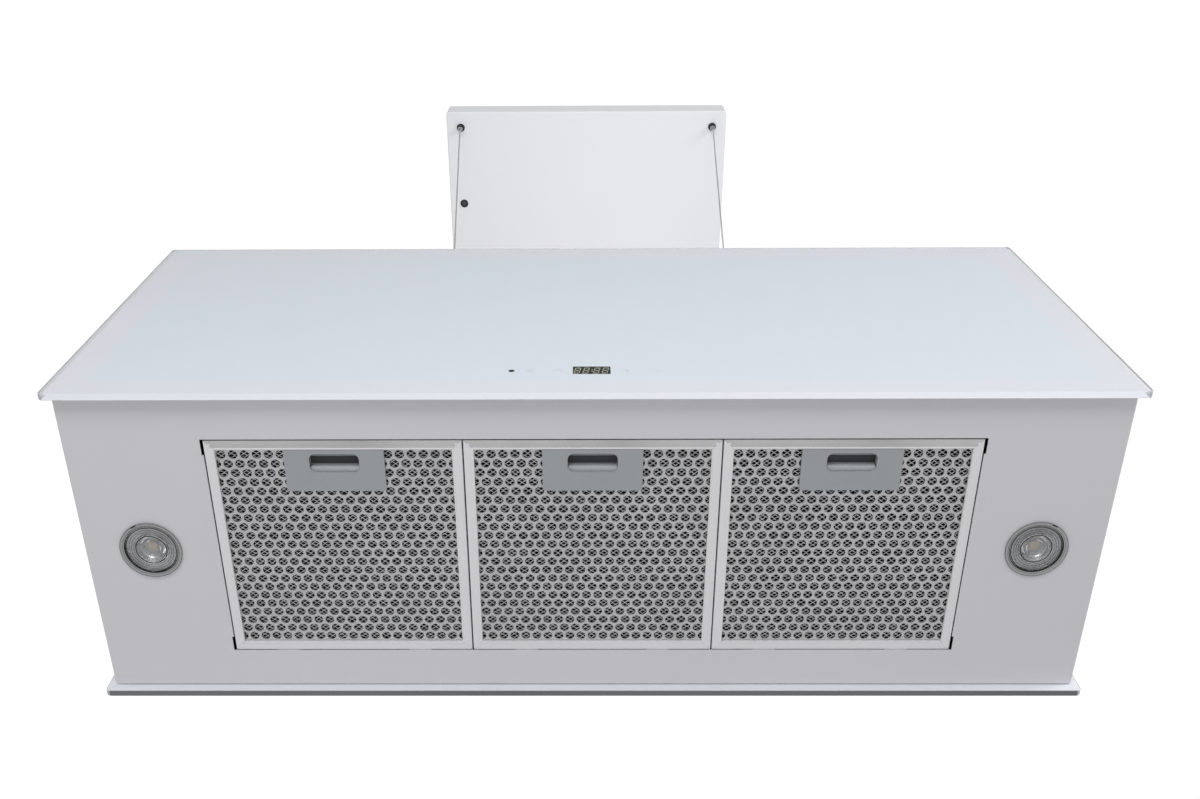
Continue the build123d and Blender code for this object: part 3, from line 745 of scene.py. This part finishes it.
def core_mesh(low, high, base):
    """Three layers of expanded metal, with a near-black sheet between them: the dense packing, painted as
    shade.
    """
    shell = Shell()
    inset = 0.6 * MM
    edges = (low.x + inset, high.x - inset, low.y + inset, high.y - inset)
    # The middle layer, marked 2, takes the darker copy: painted shade.
    layers = ((4.8, (0.0, 0.0), 11, 0), (6.9, (1.2, 0.85), 23, 2), (9.2, (0.5, 0.4), 37, 0))
    for height, (dx, dy), seed, mark in layers:
        lattice_layer(shell, *edges, base + height * MM, (dx * MM, dy * MM), seed, mark)
    packing_painted_shade(shell, *edges, base + 8.0 * MM)
    return outward(shell.mesh("filter_core", [filter_mesh, mesh_depths_painted_shade, inner_mesh_painted_shade], 40))


def packing_painted_shade(shell, x0, x1, y0, y1, z):
    """The dense inner layers of the mesh, as one crumpled sheet with the latch's notch, painted near black as
    shade.
    """
    step = 3.0 * MM
    thick = 0.25 * MM
    waviness, wave_height = 300, 0.45 * MM
    columns = int((x1 - x0) / step)
    rows = int((y1 - y0) / step)
    keep = {}
    verts, faces = [], []

    def place(column, row):
        return x0 + (x1 - x0) * column / columns, y0 + (y1 - y0) * row / rows

    def corner(column, row, top):
        key = (column, row, top)
        if key not in keep:
            x, y = place(column, row)
            lift = noise.noise(Vector((x * waviness, y * waviness, 2.0))) * wave_height
            keep[key] = len(verts)
            verts.append((x, y, z + lift + (thick if top else -thick)))
        return keep[key]

    def inside(column, row):
        on_grid = 0 <= column < columns and 0 <= row < rows
        return on_grid and not in_latch_notch(*place(column + 0.5, row + 0.5), 33 * MM, -55.5 * MM)

    for column in range(columns):
        for row in range(rows):
            if not inside(column, row):
                continue
            around = ((column, row), (column + 1, row), (column + 1, row + 1), (column, row + 1))
            neighbours = ((column, row - 1), (column + 1, row), (column, row + 1), (column - 1, row))
            faces.append(tuple(corner(c, r, True) for c, r in around))
            faces.append(tuple(corner(c, r, False) for c, r in reversed(around)))
            for neighbour, first, second in zip(neighbours, around, around[1:] + around[:1]):
                if not inside(*neighbour):
                    faces.append((corner(*first, False), corner(*second, False), corner(*second, True),
                                  corner(*first, True)))
    shell.add(verts, faces, 1)


def slider_mesh(front_end, base):
    """The latch's finger piece: a lipped tongue in the slot, its cross bar and two arms."""
    shell = Shell()
    tongue_half, tongue_front, tongue_rear = 20.7, -79.4, -75.0
    bar_half, bar_front, bar_rear = 28.4, -76.4, -74.4
    arm_width = 5.0
    underside, arm_top, top = base + 3.3 * MM, base + 5.3 * MM, base + 8.3 * MM
    rings = []
    for z, inset in ((3.12, 0.45), (3.3, 0.1), (3.7, 0.0), (8.0, 0.0), (8.3, 0.3)):
        ring = rounded_rectangle((inset - tongue_half) * MM, (tongue_half - inset) * MM,
                                 (tongue_front + inset) * MM, (tongue_rear - inset) * MM, 0.5 * MM, 3)
        rings.append([(x, y, base + z * MM) for x, y in ring])
    shell.add(*loft(rings))
    cross_bar = ((-bar_half * MM, bar_front * MM, underside), (bar_half * MM, bar_rear * MM, top))
    shell.add_bmesh(block(*cross_bar, 0.35 * MM))
    for side in (-1, 1):
        x0, x1 = sorted((side * (bar_half - arm_width) * MM, side * bar_half * MM))
        shell.add_bmesh(block((x0, front_end, underside), (x1, tongue_rear * MM, arm_top), 0.3 * MM))
    return outward(shell.mesh("latch_slider", [slider_plastic_painted_light], 35))


def build_filters():
    """The three filters share their meshes, which are made for the middle one."""
    low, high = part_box("filter_middle_frame")
    high = Vector((high.x, high.y - HOOK, high.z))
    base = low.z
    shared = {
        "frame": filter_frame_mesh(low, high, base),
        "core": core_mesh(*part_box("filter_middle_core"), base),
        "latch_slider": slider_mesh(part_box("filter_middle_latch_slider")[0].y, base),
    }
    for name in FILTERS:
        place = (box_middle(f"filter_{name}_frame")[0], 0, 0)
        for kind, data in shared.items():
            body = f"latch_{name}" if kind == "latch_slider" else f"filter_{name}"
            piece(f"filter_{name}_{kind}_piece", data, body, (f"filter_{name}_{kind}",), place)


# Lamps

# Outlines in millimetres: out from the lamp's axis, and up from the casing's underside
BEZEL = [(23.0, 0.8), (23.35, 0.5), (23.35, -0.8), (23.5, -1.1), (23.9, -1.3), (25.2, -1.62), (26.2, -1.8),
         (26.6, -1.74), (26.9, -1.45), (27.0, -1.0), (27.0, 0.0), (23.9, 0.05), (23.9, 12.0), (23.0, 12.0)]
SEAL = [(22.75, 0.6), (22.75, -0.35), (22.9, -0.6), (23.15, -0.6), (23.3, -0.35), (23.3, 0.45), (23.0, 0.7)]
LENS_DOME = [(0.0, -0.7), (3.0, -0.66), (6.0, -0.5), (9.0, -0.25), (11.4, 0.1), (12.0, 0.55), (12.5, 0.9),
             (13.0, 0.5)]
LENS_BACK = [(21.9, -0.15), (22.5, 0.0), (22.7, 0.3), (22.7, 2.4), (14.6, 2.4), (9.0, 5.9), (7.5, 5.9),
             (6.5, 4.2), (0.0, 3.4)]
CUP = [(15.2, 2.7), (22.4, 2.5), (22.4, 2.9), (15.6, 3.2), (9.8, 7.3), (9.2, 7.3)]
BOARD = [(0.0, 7.6), (17.0, 7.6), (17.0, 9.0), (0.0, 9.0)]


def turned_block(centre, angle, low, high, bevel, segments=2):
    """A block in millimetres about the lamp's axis, turned by angle."""
    bm = block([v * MM for v in low], [v * MM for v in high], bevel * MM, segments)
    bmesh.ops.rotate(bm, verts=bm.verts, cent=(0, 0, 0), matrix=Matrix.Rotation(angle, 3, "Z"))
    bmesh.ops.translate(bm, verts=bm.verts, vec=centre)
    return bm


def lamp_rings(name, centre):
    """The bezel, and the dark seal in its mouth."""
    bezel = Shell()
    bezel.add(*closed_lathe(BEZEL, centre, 128))
    shell_piece(bezel, f"lamp_bezel_{name}_piece", [nickel], (f"lamp_bezel_{name}",))
    seal = Shell()
    seal.add(*closed_lathe(SEAL, centre, 96))
    shell_piece(seal, f"lamp_seal_{name}", [black_rubber])


def lamp_groove_shade(name, centre, side):
    """Near-black rings are painted shade for each groove in the bezel and the lens, and a near-black block is
    painted shade for the bezel's notch in front.
    """
    groove_shade_rings = Shell()
    thick = 0.12
    rings = ((26.75, 27.02, -1.75), (24.35, 24.6, -1.55), (21.5, 22.2, -0.3), (19.3, 19.55, -0.12),
             (17.2, 17.5, -0.12), (15.4, 15.65, -0.12), (13.0, 13.9, -0.25), (9.6, 9.8, -0.3))
    for inner, outer, level in rings:
        ring = [(inner, level), (outer, level), (outer, level + thick), (inner, level + thick)]
        groove_shade_rings.add(*closed_lathe(ring, centre, 96))
    notch_turn = math.radians(26) * side
    groove_shade_rings.add_bmesh(turned_block(centre, notch_turn, (-2.6, -27.0, -1.9), (2.6, -25.7, -1.4), 0.15))
    shell_piece(groove_shade_rings, f"lamp_groove_shade_{name}", [display_black])


def lamp_lens(name, centre):
    """A domed middle, then fine rings out to the rim, and a cone behind for the light."""
    lens = Shell()
    ring = list(LENS_DOME)
    radius = 13.0
    while radius < 20.6:
        ring += [(radius + 0.2, -0.05), (radius + 1.15, 0.25)]
        radius += 1.25
    lens.add(*lathe(ring + LENS_BACK, centre, 96))
    unshadowed(shell_piece(lens, f"lamp_lens_{name}_piece", [lens_clear],
                           (f"lamp_lens_{name}",)))


def lamp_reflector(name, centre):
    cup = Shell()
    cup.add(*closed_lathe(CUP, centre, 96))
    ribs = 24
    for turn in range(ribs):
        angle = 2 * math.pi * (turn + 0.5) / ribs
        cup.add_bmesh(turned_block(centre, angle, (15.4, -0.25, 2.35), (22.2, 0.25, 2.8), 0.1, 1))
    shell_piece(cup, f"lamp_reflector_{name}", [reflector])


def lamp_board(name, centre):
    """The round board with its phosphor chip and two small parts beside it."""
    board = Shell()
    board.add(*lathe(BOARD, centre, 64))
    board.add_bmesh(turned_block(centre, 0, (-4.4, -4.4, 6.4), (4.4, 4.4, 7.7), 0.5), 1)
    for x, y in ((-11, 3), (11.5, -3)):
        board.add_bmesh(turned_block(centre, 0, (x - 1, y - 0.6, 7.1), (x + 1, y + 0.6, 7.7), 0.1), 2)
    shell_piece(board, f"lamp_board_{name}", [white_board, led_yellow, display_black],
                ("lamp_led_boards",))


def build_lamps():
    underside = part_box("body_casing")[0].z
    for side, name in SIDES:
        centre = Vector((*box_middle(f"lamp_bezel_{name}"), underside))
        lamp_rings(name, centre)
        lamp_groove_shade(name, centre, side)
        lamp_lens(name, centre)
        lamp_reflector(name, centre)
        lamp_board(name, centre)


# Ceiling unit

# Outlines in millimetres: out from the cable, and down from the ceiling
GRIPPER = [(1.6, -8.0), (1.6, -43.0), (3.1, -43.4), (3.1, -55.0), (4.5, -55.0), (4.9, -54.7), (5.05, -54.2),
           (5.05, -49.6), (5.9, -49.3), (6.3, -48.9), (6.3, -48.05), (5.2, -48.0), (5.2, -40.0), (7.0, -39.8),
           (7.0, -2.6), (3.0, -2.5)]
NIPPLE = [(1.45, -47.0), (1.45, -61.6), (1.7, -62.0), (2.3, -62.0), (2.75, -61.7), (3.0, -61.1), (3.0, -59.7),
          (3.6, -59.5), (3.9, -59.2), (3.9, -58.3), (3.6, -58.0), (3.0, -57.85), (3.0, -47.2), (2.8, -47.0)]
# Outlines in millimetres, up from the underside of the ceiling box
GROMMET = [(3.5, -1.0), (3.8, -1.5), (4.4, -1.8), (5.3, -1.8), (6.0, -1.5), (6.4, -1.0), (6.5, -0.3),
           (6.4, 0.0), (5.0, 0.05), (5.0, 1.15), (6.3, 1.25), (6.5, 1.7), (6.2, 2.3), (5.4, 2.6), (3.5, 2.6)]
GROMMET_PLUG = [(0.0, -0.7), (2.2, -0.75), (3.0, -0.6), (3.55, -0.1), (3.55, 1.2), (0.0, 1.2)]


def gripper_places():
    """Each cable's name, and where it leaves the ceiling box."""
    names = [f"{end}_{side}" for end in ("front", "rear") for _, side in SIDES]
    return [(name, *box_middle(f"gripper_nipple_{name}")) for name in names]


def build_grippers():
    bodies = Shell()
    for _, x, y in gripper_places():
        bodies.add(*closed_lathe(GRIPPER, (x, y, 0), 48))
    shell_piece(bodies, "cable_gripper_bodies_piece", [dark_nickel], ("cable_gripper_bodies",))
    for name, x, y in gripper_places():
        nipple = Shell()
        nipple.add(*closed_lathe(NIPPLE, (x, y, 0), 40))
        shell_piece(nipple, f"gripper_nipple_{name}_piece", [nickel], (f"gripper_nipple_{name}",),
                    f"nipple_{name}")


def build_grommet():
    centre = (*box_middle("cable_entry_grommet"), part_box("ceiling_box_cover")[0].z)
    grommet = Shell()
    grommet.add(*closed_lathe(GROMMET, centre, 48), 0)
    grommet.add(*lathe(GROMMET_PLUG, centre, 32), 1)
    shell_piece(grommet, "cable_entry_grommet_piece", [black_rubber, motor_steel],
                ("cable_entry_grommet",))


def cable_route(x, y, end_x, end_y, roof):
    """The suspension cable's own points, from its gripper in the ceiling box to its anchor on the hood."""
    top = Vector((x, y, -14 * MM))
    mouth = Vector((x, y, -66 * MM))
    turn = Vector((end_x, end_y, roof + 28 * MM))
    foot = Vector((end_x, end_y, roof + 9 * MM))
    along = (turn - mouth).normalized() * 12 * MM
    return [top, mouth, mouth + along, turn - along, turn, foot]


def nurbs_points(name, points):
    """The smooth centre line through a route, as points."""
    curve = bpy.data.curves.new(name, "CURVE")
    curve.dimensions = "3D"
    curve.resolution_u = 24
    spline = curve.splines.new("NURBS")
    spline.points.add(len(points) - 1)
    for control, point in zip(spline.points, points):
        control.co = (*point, 1)
    spline.order_u = 3
    spline.use_endpoint_u = True
    obj = bpy.data.objects.new(name, curve)
    bpy.context.scene.collection.objects.link(obj)
    line = bpy.data.meshes.new_from_object(obj)
    found = [vert.co.copy() for vert in line.vertices]
    bpy.data.objects.remove(obj)
    bpy.data.meshes.remove(line)
    return found


def resample(points, step):
    """Points at an even spacing along a polyline."""
    lengths = [0.0]
    for a, b in zip(points, points[1:]):
        lengths.append(lengths[-1] + (b - a).length)
    total = lengths[-1]
    count = max(2, int(total / step))
    result, index = [], 0
    for number in range(count + 1):
        goal = total * number / count
        while index < len(lengths) - 2 and lengths[index + 1] < goal:
            index += 1
        share = (goal - lengths[index]) / max(1e-9, lengths[index + 1] - lengths[index])
        result.append(points[index].lerp(points[index + 1], share))
    return result, total


def rope(shell, line, radius, lay):
    """Six strands laid round a straight core."""
    strand_radius = radius / 3
    shell.add(*tube(line[::4] + line[-1:], strand_radius, 6))
    for strand_index in range(6):
        helix = []
        travelled = 0.0
        normal = Vector((1, 0, 0))
        for index, point in enumerate(line):
            tangent = (line[min(index + 1, len(line) - 1)] - line[max(index - 1, 0)]).normalized()
            if index:
                travelled += (point - line[index - 1]).length
            normal = (normal - tangent * normal.dot(tangent)).normalized()
            other = tangent.cross(normal)
            angle = 2 * math.pi * (travelled / lay + strand_index / 6)
            outward_way = normal * math.cos(angle) + other * math.sin(angle)
            helix.append(point + outward_way * (radius - strand_radius))
        shell.add(*tube(helix, strand_radius, 6))


def build_cables():
    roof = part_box("top_panel")[1].z
    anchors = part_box("cable_anchors")[1]
    reach_x = anchors.x - ANCHOR_RADIUS
    reach_y = anchors.y - ANCHOR_RADIUS
    for name, x, y in gripper_places():
        points = cable_route(x, y, math.copysign(reach_x, x), math.copysign(reach_y, y), roof)
        line, length = resample(nurbs_points(f"route_{name}", points), 1.1 * MM)
        shell = Shell()
        rope(shell, line, 1.0 * MM, 13 * MM)
        obj = shell_piece(shell, f"suspension_cable_{name}", [rope_steel],
                          ("suspension_cables",), sharp=60)


ANCHOR_RADIUS = 10 * MM
# In millimetres: out from the cable, and up from the hood's top
ANCHOR = [(1.6, 8.0), (1.6, 23.6), (2.0, 24.0), (4.4, 24.0), (5.4, 23.6), (5.9, 22.8), (6.0, 21.8),
          (6.0, 18.4), (5.6, 18.2), (5.6, 17.6), (6.0, 17.4), (6.0, 3.6), (6.4, 3.1), (9.4, 3.0), (9.8, 2.8),
          (10.0, 2.4), (10.0, 0.0), (3.0, 0.0), (3.0, 8.0)]


def build_anchors():
    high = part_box("cable_anchors")[1]
    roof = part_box("top_panel")[1].z
    shell = Shell()
    for side_x in (-1, 1):
        for side_y in (-1, 1):
            centre = (side_x * (high.x - ANCHOR_RADIUS), side_y * (high.y - ANCHOR_RADIUS), roof)
            shell.add(*closed_lathe(ANCHOR, centre, 48))
    shell_piece(shell, "cable_anchors_piece", [nickel], ("cable_anchors",))


def recess(across, reach):
    """How deep the cross recess is, from 0 to 1, at shares of the head's radius."""
    half_width, arm = 0.13, 0.58
    if across >= half_width or reach >= arm:
        return 0.0
    return min(1.0, (arm - reach) / 0.15) * min(1.0, (half_width - across) / 0.05)


def screw_head(shell, place, turn):
    """A domed screw head with a cross recess. turn takes +Z to the head's own direction."""
    radius, height = 3.8 * MM, 2.2 * MM
    rings, sectors = 16, 48
    verts, faces = [], []
    for ring in range(rings + 1):
        share = ring / rings
        for sector in range(sectors):
            angle = 2 * math.pi * sector / sectors
            x, y = share * math.cos(angle), share * math.sin(angle)
            z = math.sqrt(1 - 0.8 * share ** 2) * height
            z -= 0.5 * height * recess(min(abs(x), abs(y)), max(abs(x), abs(y)))
            verts.append(Vector((x * radius, y * radius, z)))
    rim = rings * sectors
    base = len(verts)
    verts += [Vector((verts[rim + s].x, verts[rim + s].y, 0)) for s in range(sectors)]
    for ring in range(rings + 1):
        for sector in range(sectors):
            after = (sector + 1) % sectors
            a, b = ring * sectors, (ring + 1) * sectors
            faces.append((a + sector, b + sector, b + after, a + after))
    faces.append(tuple(base + s for s in reversed(range(sectors))))
    shell.add([turn @ v + place for v in verts], faces)


def build_screws():
    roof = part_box("top_panel")[1].z
    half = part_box("body_casing")[1].x - 8 * MM
    shank = [(0, -7), (1.6, -6.6), (2.0, -6), (2.0, 0.1), (0, 0.1)]
    shell = Shell()
    for side in (-1, 1):
        for y in (-0.1, 0.0, 0.1):
            place = Vector((side * half, y, roof))
            screw_head(shell, place, Matrix.Rotation(side * 0.4 + y * 7, 3, "Z"))
            shell.add(*lathe(shank, place, 20))
    shell_piece(shell, "top_panel_screws_piece", [screw_steel], ("top_panel_screws",), sharp=35)
    shell = Shell()
    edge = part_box("ceiling_box_cover")[1].x
    level = -20 * MM
    for side in (-1, 1):
        for y in (-0.08, 0.08):
            turn = Matrix.Rotation(side * math.pi / 2, 3, "Y") @ Matrix.Rotation(0.3 + y * 9, 3, "Z")
            screw_head(shell, Vector((side * edge, y, level)), turn)
            inner, outer = sorted((side * (edge - 5.5 * MM), side * (edge + 0.1 * MM)))
            shell.add(*tube([(inner, y, level), (outer, y, level)], 2.0 * MM, 16))
    shell_piece(shell, "ceiling_cover_screws_piece", [screw_steel], ("ceiling_cover_screws",),
                sharp=35)


# Studio

def studio_world():
    world = bpy.data.worlds.new("studio")
    bpy.context.scene.world = world
    world.use_nodes = True
    tree = world.node_tree
    place = tree.nodes.new("ShaderNodeTexCoord")
    split = tree.nodes.new("ShaderNodeSeparateXYZ")
    tree.links.new(place.outputs["Generated"], split.inputs["Vector"])

    def ramp(axis, start, end, low, high, smooth=True):
        return span(tree, split.outputs[axis], low, high, start, end, smooth)

    def blend(factor, first, second):
        node = tree.nodes.new("ShaderNodeMix")
        tree.links.new(factor, node.inputs["Factor"])
        for socket, value in (("A", first), ("B", second)):
            if isinstance(value, float):
                node.inputs[socket].default_value = value
            else:
                tree.links.new(value, node.inputs[socket])
        return node.outputs["Result"]

    steep = ramp("Z", 0.3, 0.85, 0.97, 0.20)
    back = ramp("X", -0.8, 0.8, 0.60, 1.15, False)
    upper = blend(ramp("Y", -0.25, 0.1, 0.0, 1.0), steep, back)
    studio = blend(ramp("Z", -0.10, 0.12, 0.0, 1.0), 0.37, upper)
    rays = tree.nodes.new("ShaderNodeLightPath")
    strength = blend(rays.outputs["Is Camera Ray"], studio, 1.05)
    shader = tree.nodes["Background"]
    shader.inputs["Color"].default_value = (1.0, 1.0, 1.0, 1)
    tree.links.new(strength, shader.inputs["Strength"])


def area_light(name, place, target, width, height, power):
    data = bpy.data.lights.new(name, "AREA")
    data.shape = "RECTANGLE"
    data.size = width
    data.size_y = height
    data.energy = power
    obj = bpy.data.objects.new(name, data)
    bpy.context.scene.collection.objects.link(obj)
    obj.location = place
    obj.rotation_euler = (Vector(target) - Vector(place)).to_track_quat("-Z", "Y").to_euler()
    obj.visible_camera = False
    obj.visible_glossy = False


def build_floor():
    finish = surface("studio_floor", (0.66, 0.66, 0.67), (0.645, 0.645, 0.655), (0.75, 0.85), grain=60.0,
                     bump=0.02)
    half, level = 9.0, -3.6
    data = bpy.data.meshes.new("studio_floor")
    corners = [(-half, -half, level), (half, -half, level), (half, half, level), (-half, half, level)]
    data.from_pydata(corners, [], [(0, 1, 2, 3)])
    data.materials.append(finish)
    floor = bpy.data.objects.new("studio_floor", data)
    bpy.context.scene.collection.objects.link(floor)


def build_studio():
    studio_world()
    build_floor()
    above_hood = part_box("top_panel")[1].z + 0.03
    area_light("low_key", (-0.25, -2.1, -2.1), (0.0, 0.0, -1.1), 1.2, 0.8, 17.5)
    area_light("rear_low", (-0.6, 1.2, -2.0), (-0.1, 0.1, -1.16), 1.0, 0.6, 1.2)
    area_light("right_softbox", (1.7, -1.3, -0.9), (0.3, 0.0, -0.6), 0.6, 0.6, 11.0)
    area_light("ceiling_box_fill", (0.08, 0.0, above_hood), (0.06, 0.0, 0.0), 0.75, 0.26, 1.5)


def build_camera():
    data = bpy.data.cameras.new("camera")
    data.lens = 36.887
    data.sensor_width = 36.0
    data.shift_x = 0.0254
    data.shift_y = 0.0848
    data.clip_start = 0.01
    data.clip_end = 100
    obj = bpy.data.objects.new("camera", data)
    bpy.context.scene.collection.objects.link(obj)
    yaw, pitch, roll = (math.radians(a) for a in (1.057, 61.067, -0.843))
    turn = Matrix.Rotation(yaw, 3, "Z") @ Matrix.Rotation(pitch, 3, "X") @ Matrix.Rotation(roll, 3, "Y")
    stand = Matrix(((1, 0, 0), (0, 0, -1), (0, 1, 0)))
    obj.matrix_world = Matrix.Translation((-0.01025, -0.55409, -2.07436)) @ (turn @ stand).to_4x4()
    bpy.context.scene.camera = obj


bpy.context.scene.view_settings.view_transform = "Standard"
dress_cad_nodes()
build_marks(build_glass())
build_filters()
build_lamps()
build_grippers()
build_grommet()
build_cables()
build_anchors()
build_screws()
build_studio()
build_camera()
